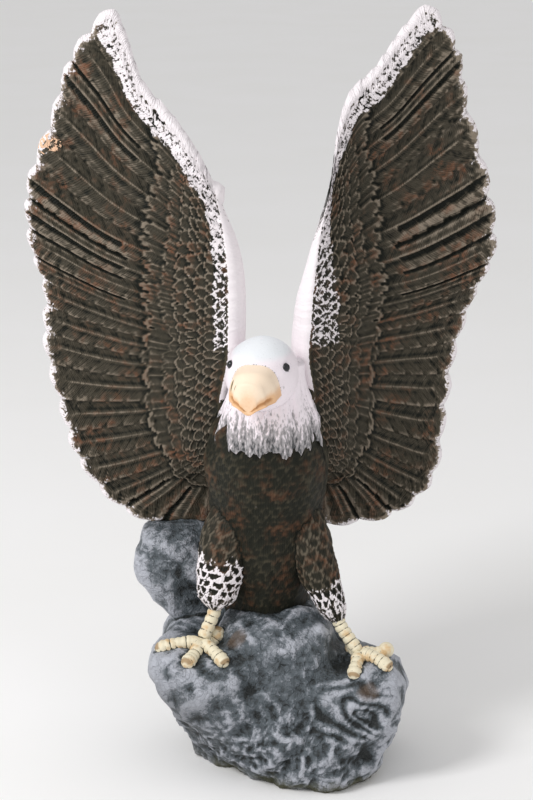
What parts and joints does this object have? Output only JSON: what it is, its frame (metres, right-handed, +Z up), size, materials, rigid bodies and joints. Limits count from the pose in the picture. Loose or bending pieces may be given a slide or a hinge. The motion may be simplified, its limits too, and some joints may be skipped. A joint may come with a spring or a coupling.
{
  "type": "eagle statue on rock",
  "caption": "Cast-stone eagle with both wings raised, standing on a rough rock that rests on its flat underside.",
  "frame": {"origin": "on the flat underside of the rock, below the middle of the eagle's body", "axes": "+Z up, -Y the way the eagle's breast faces, +X to the eagle's left"},
  "size_m": [0.6021, 0.2986, 0.9613],
  "materials": {
    "painted_stone": "matte to satin paint, dry-brushed, on cast concrete"
  },
  "bodies": {
    "root": {"eagle_on_rock": "painted_stone"}
  },
  "joints": []
}
